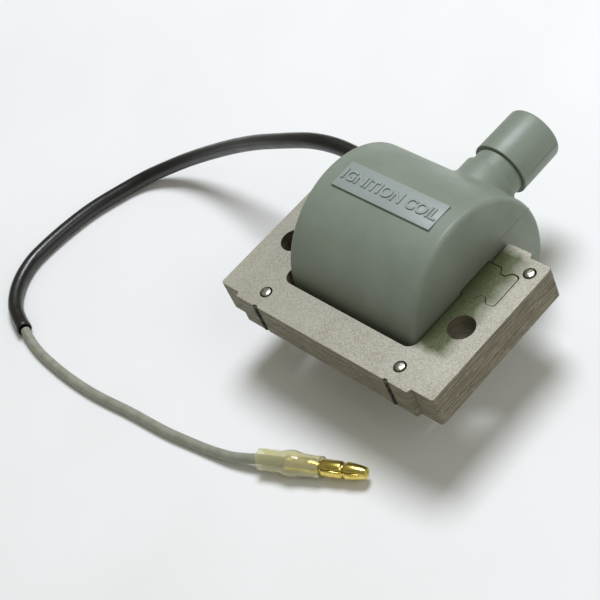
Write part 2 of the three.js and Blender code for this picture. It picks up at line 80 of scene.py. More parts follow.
# Low-tension lead: the routes of the frame's cords, in millimetres.
SLEEVE_ROUTE = [
    (-18.4, 36.9, 16.7), (-26.6, 37.2, 16.7), (-32.5, 37.0, 16.2), (-38.4, 36.5, 15), (-44.9, 35.9, 12.7),
    (-52.1, 35.3, 9.7), (-60.4, 34.8, 5.9), (-70.4, 33.9, 0.8), (-80.6, 32.1, -4.5), (-89.4, 29.5, -8.9),
    (-96.4, 25.9, -12.1), (-101, 22, -13.8), (-103.8, 17.8, -14.5), (-105.6, 13.5, -14.6),
    (-107.3, 8.9, -14.6),
    (-108.6, 4.1, -14.6), (-109.4, -0.7, -14.6), (-109.9, -5.5, -14.6), (-110.1, -10.2, -14.6),
    (-109.9, -14.6, -14.6), (-108.8, -18.7, -14.6), (-107, -22.4, -14.6), (-104.4, -25.8, -14.6),
    (-101.2, -28.5, -14.6), (-97.3, -30.4, -14.6), (-93, -31.9, -14.6),
]
WIRE_ROUTE = [
    (-92.7, -32, -14.6), (-88.4, -33.4, -15.2), (-84, -34.4, -15.4), (-79, -35, -15.4), (-74, -35.4, -15.4),
    (-69, -35.6, -15.4), (-64, -35.6, -15.4), (-59.5, -35.4, -15.4), (-55, -35, -15.4), (-50.5, -34.5, -15.4),
    (-46.5, -34.1, -15.4), (-42, -33.8, -15.4), (-37.6, -33.5, -15.4), (-33.4, -33.1, -15.4),
    (-29.3, -32.5, -15.4), (-25.4, -31.9, -15.4), (-21.7, -31.3, -15.3), (-18.1, -30.6, -15),
    (-14.6, -29.8, -14.6), (-11, -28.5, -14.1), (-7.4, -27, -13.6), (-1.3, -24.4, -13.5),
]
SLEEVE_DIAMETER = 3.9 * MM
SLEEVE_WALL = 0.45 * MM
WIRE_DIAMETER = 2.4 * MM
TERMINAL_START = Vector((-7.4, -27, -13.5)) * MM
TERMINAL_HEADING = math.radians(23.1)


# Camera: aimed, then rolled about its line of sight.
def make_camera():
    azimuth, elevation, roll = (math.radians(a) for a in (64.168, 45.811, -27.121))
    target = Vector((-19.63, 5.9, 0)) * MM
    distance = 387.29 * MM
    back = Vector((
        math.sin(azimuth) * math.cos(elevation),
        -math.cos(azimuth) * math.cos(elevation),
        math.sin(elevation),
    ))
    camera = bpy.data.objects.new("camera", bpy.data.cameras.new("camera"))
    bpy.context.scene.collection.objects.link(camera)
    camera.data.sensor_width = 36
    camera.data.lens = 101.54
    camera.data.clip_start = 0.01
    camera.data.clip_end = 10
    aim = back.to_track_quat("Z", "Y").to_matrix().to_4x4()
    camera.matrix_world = Matrix.Translation(target + back * distance) @ aim @ Matrix.Rotation(roll, 4, "Z")
    bpy.context.scene.camera = camera


# Mesh helpers.
def linked(name, data):
    piece = bpy.data.objects.new(name, data)
    bpy.context.scene.collection.objects.link(piece)
    return piece


def finished(bm, name, materials, sharp=SMOOTH_ANGLE):
    """The bmesh as an object: doubles merged, faces outwards, smooth up to the sharp angle."""
    bmesh.ops.remove_doubles(bm, verts=bm.verts, dist=MERGE_DISTANCE)
    bmesh.ops.recalc_face_normals(bm, faces=bm.faces)
    data = bpy.data.meshes.new(name)
    bm.to_mesh(data)
    bm.free()
    for material in materials:
        data.materials.append(material)
    data.shade_smooth()
    data.set_sharp_from_angle(angle=sharp)
    return linked(name, data)


def round_corner(centre, radius, start, end, steps=5):
    """Points of an arc, in (radius, distance) or (x, y). Its start and end are in degrees."""
    angles = [math.radians(start + (end - start) * i / steps) for i in range(steps + 1)]
    return [(centre[0] + radius * math.cos(a), centre[1] + radius * math.sin(a)) for a in angles]


def turned(name, profile, axis, centre, materials, steps=SMALL_STEPS, closed=False):
    """(radius, distance from centre) points turned round an axis through centre."""
    along = {"x": Vector((1, 0, 0)), "y": Vector((0, 1, 0)), "z": Vector((0, 0, 1))}[axis]
    out = {"x": Vector((0, 0, 1)), "y": Vector((0, 0, 1)), "z": Vector((1, 0, 0))}[axis]
    bm = bmesh.new()
    verts = [bm.verts.new(centre + along * d + out * r) for r, d in profile]
    pairs = list(zip(verts, verts[1:])) + ([(verts[-1], verts[0])] if closed else [])
    edges = [bm.edges.new(pair) for pair in pairs]
    bmesh.ops.spin(
        bm, geom=verts + edges, cent=centre, axis=along, angle=2 * math.pi, steps=steps, use_merge=True)
    return finished(bm, name, materials)


def bored(piece, cutter):
    """Cuts the cutter out of the piece and removes it."""
    cut = piece.modifiers.new("cut", "BOOLEAN")
    cut.object = cutter
    cut.operation = "DIFFERENCE"
    cut.solver = "EXACT"
    data = evaluated_mesh(piece)
    piece.modifiers.clear()
    piece.data = data
    bpy.data.objects.remove(cutter)
    return piece


def evaluated_mesh(piece):
    """The piece's mesh as it is after its curve, text or modifiers."""
    bpy.context.view_layer.update()
    return bpy.data.meshes.new_from_object(piece.evaluated_get(bpy.context.evaluated_depsgraph_get()))


def block(name, low, high, bevel=0.0, materials=()):
    bm = bmesh.new()
    bmesh.ops.create_cube(bm, size=1)
    bmesh.ops.scale(bm, verts=bm.verts, vec=Vector(high) - Vector(low))
    bmesh.ops.translate(bm, verts=bm.verts, vec=(Vector(high) + Vector(low)) / 2)
    if bevel:
        bmesh.ops.bevel(
            bm, geom=bm.edges, offset=bevel, segments=2, profile=0.5, affect="EDGES", material=-1)
    return finished(bm, name, materials)


def place(piece, body, slot, *cad_nodes):
    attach(piece, body)
    if cad_nodes:
        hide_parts(*cad_nodes)


# Materials.
A, B, COLOUR = 6, 7, 2  # a mix node's colour inputs and its colour output
COPPER_SCALE = 454.96  # the wave node draws a ridge every 0.314 / scale, which is 0.69 mm


def linear(hex_colour):
    """An sRGB hex colour as linear RGBA."""
    parts = [int(hex_colour[i:i + 2], 16) / 255 for i in (1, 3, 5)]
    return (*(c / 12.92 if c <= 0.04045 else ((c + 0.055) / 1.055) ** 2.4 for c in parts), 1)


def new_material(name, **sockets):
    material = bpy.data.materials.new(name)
    material.use_nodes = True
    shader = material.node_tree.nodes["Principled BSDF"]
    for socket, value in sockets.items():
        shader.inputs[socket.replace("_", " ")].default_value = value
    return material, material.node_tree, shader


def add(tree, kind, inputs, out=0, **settings):
    """Adds a shader node and gives its output. An input is a socket to link, a hex colour or a value."""
    node = tree.nodes.new("ShaderNode" + kind)
    for key, value in settings.items():
        setattr(node, key, value)
    for key, value in inputs.items():
        if isinstance(value, bpy.types.NodeSocket):
            tree.links.new(value, node.inputs[key])
        else:
            node.inputs[key].default_value = linear(value) if isinstance(value, str) else value
    return node.outputs[out]


def dress(tree, shader, **inputs):
    """Links sockets to the shader's inputs, with _ for each space in an input's name."""
    for name, socket in inputs.items():
        tree.links.new(socket, shader.inputs[name.replace("_", " ")])


def mottle(tree, size, low, high, detail=3.0, stretch=(1, 1, 1)):
    """Noise of a real size in metres, from 0 below low to 1 above high."""
    coordinates = add(tree, "TexCoord", {}, "Object")
    scaled = add(tree, "Mapping", {"Vector": coordinates, "Scale": stretch})
    noise = add(tree, "TexNoise", {"Vector": scaled, "Scale": 1 / size, "Detail": detail})
    return add(tree, "MapRange", {"Value": noise, "From Min": low, "From Max": high})


# Moulded plastic of the case: glass-filled nylon, satin from the mould, with a faint cloudy flow in its grey.
def moulded_plastic(name, light, dark, sheen_rough):
    material, tree, shader = new_material(name, IOR=1.5)
    cloud = mottle(tree, 9 * MM, 0.35, 0.7)
    specks = add(tree, "Math", {
        0: mottle(tree, 0.35 * MM, 0.56, 0.72, detail=1), 1: 0.08}, operation="MULTIPLY")
    grey = add(tree, "Mix", {"Factor": cloud, A: dark, B: light}, COLOUR, data_type="RGBA")
    colour = add(tree, "Mix", {"Factor": specks, A: grey, B: "#A9B3AB"}, COLOUR, data_type="RGBA")
    rough = add(tree, "MapRange", {
        "Value": cloud, "To Min": sheen_rough + 0.06, "To Max": sheen_rough - 0.04})
    grain = mottle(tree, 0.5 * MM, 0.3, 0.7)
    relief = add(tree, "Bump", {"Height": grain, "Distance": 0.02 * MM, "Strength": 0.35})
    dress(tree, shader, Base_Color=colour, Roughness=rough, Normal=relief)
    return material


# Rolled electrical steel: a warm light grey oxide coat with a fine bright speckle. Its top-sheet copy has
# darker olive painted shade over the right arm beside the drum.
def sheet_steel(painted_shade):
    name = "rolled_steel_painted_shade" if painted_shade else "rolled_steel"
    material, tree, shader = new_material(name, Metallic=0.35)
    fine = mottle(tree, 0.3 * MM, 0.36, 0.66, detail=2)
    broad = add(tree, "Math", {0: mottle(tree, 6 * MM, 0.3, 0.7), 1: 0.35}, operation="MULTIPLY")
    oxide = add(tree, "Mix", {"Factor": fine, A: "#8F8B7B", B: "#B3AF9F"}, COLOUR, data_type="RGBA")
    colour = add(tree, "Mix", {"Factor": broad, A: oxide, B: "#BDBAAE"}, COLOUR, data_type="RGBA")
    rough = add(tree, "MapRange", {"Value": fine, "To Min": 0.62, "To Max": 0.42})
    # Painted shade: darker olive over the right arm beside the drum, where the drum shades it, fading away
    # from it.
    if painted_shade:
        shade_mask = drum_shade_mask(tree)
        olive = add(tree, "Mix", {"Factor": fine, A: "#484E31", B: "#5F6546"}, COLOUR, data_type="RGBA")
        colour = add(tree, "Mix", {"Factor": shade_mask, A: colour, B: olive}, COLOUR, data_type="RGBA")
        rough = add(tree, "Mix", {"Factor": shade_mask, 2: rough, 3: 0.32})
    relief = add(tree, "Bump", {"Height": fine, "Distance": 0.015 * MM, "Strength": 0.5})
    dress(tree, shader, Base_Color=colour, Roughness=rough, Normal=relief)
    return material


def drum_shade_mask(tree):
    """Mask of painted shade over the right arm beside the drum: 1 in it, 0 out of it, with a wandering edge.
    """
    coordinates = add(tree, "TexCoord", {}, "Object")
    wander = add(tree, "TexNoise", {"Vector": coordinates, "Scale": 1 / (5 * MM), "Detail": 2.0}, "Color")
    shift = add(tree, "VectorMath", {0: wander, 1: (0.5, 0.5, 0.5)}, operation="SUBTRACT")
    moved = add(tree, "VectorMath", {0: shift, "Scale": 4 * MM}, operation="SCALE")
    spot = add(tree, "VectorMath", {0: coordinates, 1: moved}, operation="ADD")
    across = add(tree, "SeparateXYZ", {0: spot}, "X")
    along = across.node.outputs["Y"]
    edges = (
        (across, 29 * MM, 25.4 * MM), (across, 18 * MM, 18.5 * MM),
        (along, 5.2 * MM, 7 * MM), (along, 37.5 * MM, 35 * MM),
    )
    steps = [add(tree, "MapRange", {"Value": source, "From Min": off, "From Max": on})
             for source, off, on in edges]
    mask = steps[0]
    for step in steps[1:]:
        mask = add(tree, "Math", {0: mask, 1: step}, operation="MULTIPLY")
    return mask


# Sheared and ground edges of the laminations: dull brown-grey steel with scratches along the face.
def sheared_edge():
    material, tree, shader = new_material("sheared_edge", Metallic=0.45)
    streaks = mottle(tree, 3.5 * MM, 0.3, 0.7, detail=5, stretch=(1, 1, 14))
    flecks = mottle(tree, 1.2 * MM, 0.66, 0.8, detail=1, stretch=(1, 1, 5))
    steel = add(tree, "Mix", {"Factor": streaks, A: "#665F4B", B: "#8C8570"}, COLOUR, data_type="RGBA")
    colour = add(tree, "Mix", {"Factor": flecks, A: steel, B: "#B4AE9F"}, COLOUR, data_type="RGBA")
    rough = add(tree, "MapRange", {"Value": streaks, "To Min": 0.7, "To Max": 0.45})
    relief = add(tree, "Bump", {"Height": streaks, "Distance": 0.02 * MM, "Strength": 0.5})
    dress(tree, shader, Base_Color=colour, Roughness=rough, Normal=relief)
    return material


# Plain metals: colour, roughness and a scratch size set the difference.
def metal(name, light, dark, rough, scratch, depth=0.01 * MM):
    material, tree, shader = new_material(name, Metallic=1.0)
    marks = mottle(tree, scratch, 0.35, 0.7)
    colour = add(tree, "Mix", {"Factor": marks, A: dark, B: light}, COLOUR, data_type="RGBA")
    spread = add(tree, "MapRange", {"Value": marks, "To Min": rough + 0.12, "To Max": rough})
    relief = add(tree, "Bump", {"Height": marks, "Distance": depth, "Strength": 0.5})
    dress(tree, shader, Base_Color=colour, Roughness=spread, Normal=relief)
    return material


# Cast potting resin: olive-brown, semi-gloss, with pinholes and slow waves where it set. The pinholes are
# real dents, painted dark as painted shade.
def potting_resin():
    material, tree, shader = new_material("potting_resin", IOR=1.55, Roughness=0.28)
    waves = mottle(tree, 5 * MM, 0.3, 0.7)
    pinholes_and_shade = mottle(tree, 0.9 * MM, 0.66, 0.7, detail=1)
    resin = add(tree, "Mix", {"Factor": waves, A: "#3B3D2B", B: "#5C5E45"}, COLOUR, data_type="RGBA")
    # Pinholes: dents from the bump, with painted shade as their dark colour.
    colour = add(tree, "Mix", {"Factor": pinholes_and_shade, A: resin, B: "#23241A"}, COLOUR, data_type="RGBA")
    height = add(tree, "Math", {0: waves, 1: pinholes_and_shade}, operation="SUBTRACT")
    relief = add(tree, "Bump", {"Height": height, "Distance": 0.15 * MM, "Strength": 0.5})
    dress(tree, shader, Base_Color=colour, Normal=relief)
    return material


# Extruded PVC: soft gloss, with smears and a fine unevenness of the surface.
def extruded_pvc(name, light, dark, rough, coat):
    material, tree, shader = new_material(name, IOR=1.53, Coat_Weight=coat, Coat_Roughness=0.12)
    smears = mottle(tree, 2.5 * MM, 0.35, 0.7)
    colour = add(tree, "Mix", {"Factor": smears, A: dark, B: light}, COLOUR, data_type="RGBA")
    spread = add(tree, "MapRange", {"Value": smears, "To Min": rough, "To Max": rough + 0.15})
    ripples = mottle(tree, 0.8 * MM, 0.3, 0.7)
    relief = add(tree, "Bump", {"Height": ripples, "Distance": 0.03 * MM, "Strength": 0.5})
    dress(tree, shader, Base_Color=colour, Roughness=spread, Normal=relief)
    return material


# Clear PVC: yellowed, slightly cloudy.
def clear_pvc():
    material, tree, shader = new_material("clear_pvc", IOR=1.45, Transmission_Weight=0.8, Roughness=0.12)
    cloud = mottle(tree, 2 * MM, 0.3, 0.7)
    colour = add(tree, "Mix", {"Factor": cloud, A: "#FAF6C4", B: "#FDFCE6"}, COLOUR, data_type="RGBA")
    relief = add(tree, "Bump", {"Height": cloud, "Distance": 0.05 * MM, "Strength": 0.5})
    dress(tree, shader, Base_Color=colour, Normal=relief)
    return material


# Enamelled copper, wound in turns along X, drawn as ridges about 0.7 mm apart, with painted light on the
# ridges and painted shade in the grooves. It is sealed inside the drum.
def wound_copper():
    material, tree, shader = new_material("enamelled_copper", Metallic=0.9, Roughness=0.3)
    coordinates = add(tree, "TexCoord", {}, "Object")
    turns = add(tree, "TexWave", {"Vector": coordinates, "Scale": COPPER_SCALE}, 1, bands_direction="X")
    # Colour follows the ridges: painted light on their tops, painted shade between turns.
    colour = add(tree, "Mix", {"Factor": turns, A: "#6E3A1E", B: "#B5673A"}, COLOUR, data_type="RGBA")
    relief = add(tree, "Bump", {"Height": turns, "Distance": 0.1 * MM, "Strength": 0.6})
    dress(tree, shader, Base_Color=colour, Normal=relief)
    return material


# Moulded natural nylon and matte black rubber share a plain cloudy finish.
def plain_cloudy(name, light, dark, rough):
    material, tree, shader = new_material(name, IOR=1.5, Roughness=rough)
    cloud, grain = mottle(tree, 3 * MM, 0.3, 0.7), mottle(tree, 0.4 * MM, 0.3, 0.7)
    colour = add(tree, "Mix", {"Factor": cloud, A: dark, B: light}, COLOUR, data_type="RGBA")
    relief = add(tree, "Bump", {"Height": grain, "Distance": 0.02 * MM, "Strength": 0.5})
    dress(tree, shader, Base_Color=colour, Normal=relief)
    return material


CASE_PLASTIC = moulded_plastic("case_nylon", "#848D7F", "#7B8476", 0.44)
CAP_PLASTIC = moulded_plastic("cap_nylon", "#848D80", "#7D8678", 0.42)
LABEL_PLASTIC = moulded_plastic("label_nylon", "#969F9A", "#8F9893", 0.4)
STEEL_FACE = sheet_steel(painted_shade=False)
# Steel of the top sheet, with painted shade beside the drum.
STEEL_FACE_PAINTED_SHADE = sheet_steel(painted_shade=True)
STEEL_EDGE = sheared_edge()
RIVET_STEEL = metal("peened_rivet_steel", "#E4E2DA", "#8F8A7C", 0.22, 0.6 * MM, 0.05 * MM)
WELD_STEEL = metal("weld_steel", "#6B665C", "#35322B", 0.5, 0.5 * MM, 0.05 * MM)
WASHER_STEEL = metal("zinc_plated_steel", "#C6C8C8", "#A3A5A5", 0.3, 1 * MM)
BRASS = metal("drawn_brass", "#F3E084", "#D0B858", 0.16, 1.5 * MM)
POTTING_RESIN = potting_resin()
BLACK_PVC = extruded_pvc("black_pvc", "#12100C", "#080706", 0.3, 0.25)
GREY_PVC = extruded_pvc("grey_pvc", "#9A9B8C", "#8A8B7B", 0.42, 0.05)
CLEAR_PVC = clear_pvc()
COPPER = wound_copper()
NYLON = plain_cloudy("natural_nylon", "#DED8C6", "#CFC7B0", 0.55)
RUBBER = plain_cloudy("black_rubber", "#232321", "#161614", 0.8)


# Core.
ARM_WIDTH = 12.9 * MM
CORNER_RELIEF = {"length": 6.4 * MM, "depth": 1.1 * MM, "ramp": 0.5 * MM}
CORNER_ROUND = 0.8 * MM
WINDOW_ROUND = 2.5 * MM
WELD_NOTCH = {"inset": 12.6 * MM, "width": 1.6 * MM, "depth": 0.4 * MM}
BOLT_HOLE = {"radius": 3.2 * MM, "inset": 7.2 * MM, "setback": 19 * MM, "steps": 40}
FRONT_BAR = 9 * MM
RIVET_HOLE = {"radius": 1.5 * MM, "steps": 24}
TONGUE_WIDTH = 9.5 * MM
TONGUE_SHIFT = 0.1 * MM  # the tongue was pressed in against the front side of its slot
KEY = {"shoulder": 2.9 * MM, "neck_start": 3.8 * MM, "neck_end": 5.1 * MM, "head_start": 6.3 * MM,
       "length": 8.3 * MM, "neck": 6.4 * MM, "head": 9 * MM, "round": 0.9 * MM}
KEY_CLEARANCE = 0.15 * MM
ARM_INNER = CORE_HIGH.x - ARM_WIDTH
SHEETS = 9
RIM_ANGLE = math.radians(60)
LEVEL_WITHIN = 1e-6
SHEET_JITTER = 0.03 * MM
RIVET_DOME = 0.32 * MM
BEAD = {"radius": 0.6 * MM, "ripple": 0.16 * MM, "bare": 0.04, "steps": 72}  # bare: share left at each end
RIVET_BOXES = [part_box(f"core_rivet_{i}") for i in range(1, 5)]


def mirrored(points):
    """Outline points mirrored in the YZ plane, in the order that carries the outline on."""
    return [(-x, y) for x, y in reversed(points)]


def key_outline(clearance):
    """One side of the tongue's key, from its shoulder out to its head. y is from the drum's axis."""
    inset = KEY["round"] - clearance
    corner = (ARM_INNER + KEY["length"] - inset, KEY["head"] / 2 - inset)
    return [
        (ARM_INNER + KEY["shoulder"] + clearance, TONGUE_WIDTH / 2 + clearance),
        (ARM_INNER + KEY["neck_start"] + clearance, KEY["neck"] / 2 + clearance),
        (ARM_INNER + KEY["neck_end"] - clearance, KEY["neck"] / 2 + clearance),
        (ARM_INNER + KEY["head_start"] - clearance, KEY["head"] / 2 + clearance),
        *round_corner(corner, KEY["round"], 90, 0),
    ]


def core_outline():
    side, front, back = CORE_HIGH.x, CORE_LOW.y - DRUM_AXIS.y, CORE_HIGH.y - DRUM_AXIS.y
    notch, flat = side - WELD_NOTCH["inset"], WELD_NOTCH["width"] / 2
    relief, depth = side - CORNER_RELIEF["length"], CORNER_RELIEF["depth"]
    ramp = relief + CORNER_RELIEF["ramp"]
    slot, window = TONGUE_WIDTH / 2 + KEY_CLEARANCE, front + FRONT_BAR
    socket = key_outline(KEY_CLEARANCE)
    right = [
        (notch - flat, front), (notch - flat / 2, front + WELD_NOTCH["depth"]),
        (notch + flat / 2, front + WELD_NOTCH["depth"]), (notch + flat, front),
        (relief, front), (ramp, front + depth),
        *round_corner((side - CORNER_ROUND, front + depth + CORNER_ROUND), CORNER_ROUND, -90, 0),
        *round_corner((side - CORNER_ROUND, back - depth - CORNER_ROUND), CORNER_ROUND, 0, 90),
        (ramp, back - depth), (relief, back), (ARM_INNER, back), (ARM_INNER, slot),
        *socket, *((x, -y) for x, y in reversed(socket)),
        (ARM_INNER, -slot),
        *round_corner((ARM_INNER - WINDOW_ROUND, window + WINDOW_ROUND), WINDOW_ROUND, 0, -90, 8),
    ]
    return right + mirrored(right)


def tongue_outline():
    key = key_outline(0)
    right = [*((x, -y) for x, y in key), *reversed(key)]
    return right + mirrored(right)


def core_holes():
    holes = [
        ((sign * (CORE_HIGH.x - BOLT_HOLE["inset"]), CORE_LOW.y - DRUM_AXIS.y + BOLT_HOLE["setback"]),
         BOLT_HOLE["radius"], BOLT_HOLE["steps"])
        for sign in (-1, 1)
    ]
    for low, high in RIVET_BOXES:
        middle = (low + high) / 2
        holes.append(((middle.x, middle.y - DRUM_AXIS.y), RIVET_HOLE["radius"], RIVET_HOLE["steps"]))
    return [round_corner(at, radius, 0, 360, steps)[1:] for at, radius, steps in holes]


def lamination(name, node, outlines, shift, face_material):
    """A sheet cut to the outlines, with the burr rounded off its edges, where the CAD node lies."""
    low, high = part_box(node)
    bm = bmesh.new()
    for outline in outlines:
        ring = [bm.verts.new((x + shift[0], y + DRUM_AXIS.y + shift[1], low.z)) for x, y in outline]
        for pair in zip(ring, ring[1:] + ring[:1]):
            bm.edges.new(pair)
    bmesh.ops.triangle_fill(bm, edges=bm.edges[:], use_beauty=True)
    raised = bmesh.ops.extrude_face_region(bm, geom=bm.faces[:])
    lid = [v for v in raised["geom"] if isinstance(v, bmesh.types.BMVert)]
    bmesh.ops.translate(bm, verts=lid, vec=(0, 0, high.z - low.z))
    bmesh.ops.recalc_face_normals(bm, faces=bm.faces)
    rims = [e for e in bm.edges if len(e.link_faces) == 2 and e.calc_face_angle(0) > RIM_ANGLE
            and abs(e.verts[0].co.z - e.verts[1].co.z) < LEVEL_WITHIN]
    bmesh.ops.bevel(
        bm, geom=rims, offset=LAMINATION_BURR, segments=1, profile=0.5, affect="EDGES", material=-1)
    for face in bm.faces:
        face.material_index = 0 if abs(face.normal.z) > 0.9 else 1
    return finished(bm, name, [face_material, STEEL_EDGE], SHEET_ANGLE)


def make_core():
    jitter = random.Random(7)
    for i in range(1, SHEETS + 1):
        top = i == SHEETS
        # The top sheet carries the painted shade beside the drum.
        face = STEEL_FACE_PAINTED_SHADE if top else STEEL_FACE
        node = f"core_lamination_{i}"
        shift = (0, 0) if top else [jitter.uniform(-SHEET_JITTER, SHEET_JITTER) for _ in "xy"]
        place(lamination(f"core_sheet_{i}", node, [core_outline(), *core_holes()], shift, face),
              "root", "core_steel", node)
        node = f"tongue_lamination_{i}"
        place(lamination(f"tongue_sheet_{i}", node, [tongue_outline()], (0, -TONGUE_SHIFT), face),
              "root", "core_steel", node)


def make_rivets():
    """Peened pins: a low dome on each end, slightly flattened by the tool."""
    for i, (low, high) in enumerate(RIVET_BOXES, 1):
        middle = (low + high) / 2
        half, radius = (high.z - low.z) / 2, (high.x - low.x) / 2
        end = [(radius * share, half - RIVET_DOME * drop)
               for share, drop in ((1, 1), (0.93, 0.45), (0.7, 0.1), (0.35, 0), (0, 0))]
        profile = [(r, -d) for r, d in reversed(end)] + end
        rivet = turned(f"rivet_{i}", profile, "z", middle, [RIVET_STEEL], RIVET_STEPS)
        place(rivet, "root", "bright_steel", f"core_rivet_{i}")


def make_welds():
    """A bead in each notch of the front, rippled once for each sheet that it joins."""
    for side, name in ((-1, "core_weld_left"), (1, "core_weld_right")):
        x = side * (CORE_HIGH.x - WELD_NOTCH["inset"])
        height = CORE_TOP - CORE_LOW.z
        shares = [k / BEAD["steps"] for k in range(BEAD["steps"] + 1)]
        ripples = [
            (BEAD["radius"] + BEAD["ripple"] * math.sin(2 * math.pi * SHEETS * share) ** 2,
             height * (BEAD["bare"] + (1 - 2 * BEAD["bare"]) * share))
            for share in shares
        ]
        profile = [(0, ripples[0][1]), *ripples, (0, ripples[-1][1])]
        foot = Vector((x, CORE_LOW.y + WELD_NOTCH["depth"], CORE_LOW.z))
        place(turned(name, profile, "z", foot, [WELD_STEEL], BEAD_STEPS), "root", "core_steel")


# Moulded case.
NECK_RADIUS = 6.9 * MM
NECK_LENGTH = 1.1 * MM
SHOULDER_RADIUS = 6.1 * MM
SPIGOT_RADIUS = 5.5 * MM
CABLE_BORE = 3.9 * MM
CONTACT_HOLE = 1.4 * MM
SOCKET_FLOOR = 0.3 * MM
NECK_FILLET = 0.9 * MM
FILLET_STEPS = 6
FILLET_FOOT = 0.02 * MM
SADDLE_DEPTH = 0.9 * MM  # of the tower's foot in the drum's wall
NECK_ROUND = 0.12 * MM
SHOULDER_CHAMFER = 0.15 * MM
SPIGOT_CHAMFER = 0.3 * MM
BORE_CHAMFER = 0.2 * MM
MOUTH_CHAMFER = 0.2 * MM
MOUTH_ROUND = RIM_ROUND * 0.6
TONGUE_SLOT = Vector((9.9, 9.19)) * MM
LABEL_MARGIN = 4.4 * MM
LABEL_WIDTH = 7.4 * MM
LABEL_TOP = 0.25 * MM  # above the drum's radius
LABEL_FOOT = DRUM_WALL * 0.8  # below the drum's radius
LABEL_BEVEL = 0.12 * MM
LABEL_FACE = 0.05 * MM  # a face less than this below the top has the label's plastic
LETTER_HEIGHT = 0.26 * MM
AXIS_POINT = Vector((0, DRUM_AXIS.y, DRUM_AXIS.z))
TOWER_POINT = Vector((TOWER_AXIS.x, DRUM_AXIS.y, TOWER_AXIS.z))
CAP_GAP = 0.05 * MM
SHOULDER_END = CAP_LOW.y - CAP_GAP - DRUM_AXIS.y
FIN_HALF = Vector((0.1, 0, 0.07)) * MM
CASE_FIN_SUNK = 0.06 * MM  # the fin's middle, below the face


def drum_cup():
    inner, start, end = DRUM_RADIUS - DRUM_WALL, CASE_LOW.x, CASE_HIGH.x
    profile = [
        (0, end - DRUM_END_WALL), (inner, end - DRUM_END_WALL), (inner, start + MOUTH_CHAMFER),
        (inner + MOUTH_CHAMFER, start),
        *round_corner((DRUM_RADIUS - MOUTH_ROUND, start + MOUTH_ROUND), MOUTH_ROUND, -90, 0, 6),
        *round_corner((DRUM_RADIUS - RIM_ROUND, end - RIM_ROUND), RIM_ROUND, 0, 90, 10),
        (0, end),
    ]
    drum = turned("drum_cup", profile, "x", AXIS_POINT, [CASE_PLASTIC], DRUM_STEPS)
    slot = Vector((0, TONGUE_SLOT.x / 2, TONGUE_SLOT.y / 2))
    bored(drum, block("slot_cutter", AXIS_POINT - slot, AXIS_POINT + slot + Vector((CUT_LENGTH, 0, 0))))
    pin = [(0, 0), (CONTACT_HOLE, 0), (CONTACT_HOLE, CUT_LENGTH), (0, CUT_LENGTH)]
    return bored(drum, turned("hole_cutter", pin, "y", TOWER_POINT, []))


def on_drum(z, lift):
    """Distance along Y, from the drum's axis, of its surface at the height z, lifted."""
    return math.sqrt((DRUM_RADIUS + lift) ** 2 - (z - DRUM_AXIS.z) ** 2)


def tower():
    """Neck with a fillet that follows the drum, then the shoulder and the spigot, bored for the cable."""
    neck_end, spigot_end = DRUM_RADIUS + NECK_LENGTH, CASE_HIGH.y - DRUM_AXIS.y
    floor = DRUM_RADIUS + SOCKET_FLOOR
    saddle = [(NECK_RADIUS + NECK_FILLET, -SADDLE_DEPTH), (NECK_RADIUS + NECK_FILLET, -FILLET_FOOT)]
    for k in range(1, FILLET_STEPS + 1):
        angle = math.radians(90 * k / FILLET_STEPS)
        radius = NECK_RADIUS + NECK_FILLET * (1 - math.sin(angle))
        saddle.append((radius, NECK_FILLET * (1 - math.cos(angle))))
    level = [
        *round_corner((NECK_RADIUS - NECK_ROUND, neck_end - NECK_ROUND), NECK_ROUND, 0, 90, 3),
        (SHOULDER_RADIUS, neck_end), (SHOULDER_RADIUS, SHOULDER_END - SHOULDER_CHAMFER),
        (SHOULDER_RADIUS - SHOULDER_CHAMFER, SHOULDER_END), (SPIGOT_RADIUS, SHOULDER_END),
        (SPIGOT_RADIUS, spigot_end - SPIGOT_CHAMFER), (SPIGOT_RADIUS - SPIGOT_CHAMFER, spigot_end),
        (CABLE_BORE + BORE_CHAMFER, spigot_end), (CABLE_BORE, spigot_end - BORE_CHAMFER),
        (CABLE_BORE, floor), (CONTACT_HOLE, floor),
    ]
    bm = bmesh.new()
    rings = []
    for radius, height in [*saddle, *level, (CONTACT_HOLE, None)]:
        ring = bmesh.ops.create_circle(bm, segments=TOWER_STEPS, radius=radius)["verts"]
        for vert in ring:
            x, z = TOWER_AXIS.x + vert.co.x, TOWER_AXIS.z + vert.co.y
            if height is None:
                y = on_drum(z, -SADDLE_DEPTH)
            elif len(rings) < len(saddle):
                y = on_drum(z, height)
            else:
                y = height
            vert.co = (x, DRUM_AXIS.y + y, z)
        rings.append([e for e in bm.edges if e.verts[0] in ring and e.verts[1] in ring])
    for one, two in zip(rings, rings[1:] + rings[:1]):
        bmesh.ops.bridge_loops(bm, edges=one + two)
    return finished(bm, "tower", [CASE_PLASTIC])


def label_plate():
    crest, half = DRUM_AXIS.z + DRUM_RADIUS, LABEL_WIDTH / 2
    low = (CASE_LOW.x + LABEL_MARGIN, DRUM_AXIS.y - half, crest - LABEL_FOOT)
    high = (CASE_HIGH.x - LABEL_MARGIN, DRUM_AXIS.y + half, crest + LABEL_TOP)
    plate = block("label_plate", low, high, LABEL_BEVEL, [CASE_PLASTIC, LABEL_PLASTIC])
    for face in plate.data.polygons:
        face.material_index = int(face.center.z > crest + LABEL_TOP - LABEL_FACE)
    return plate


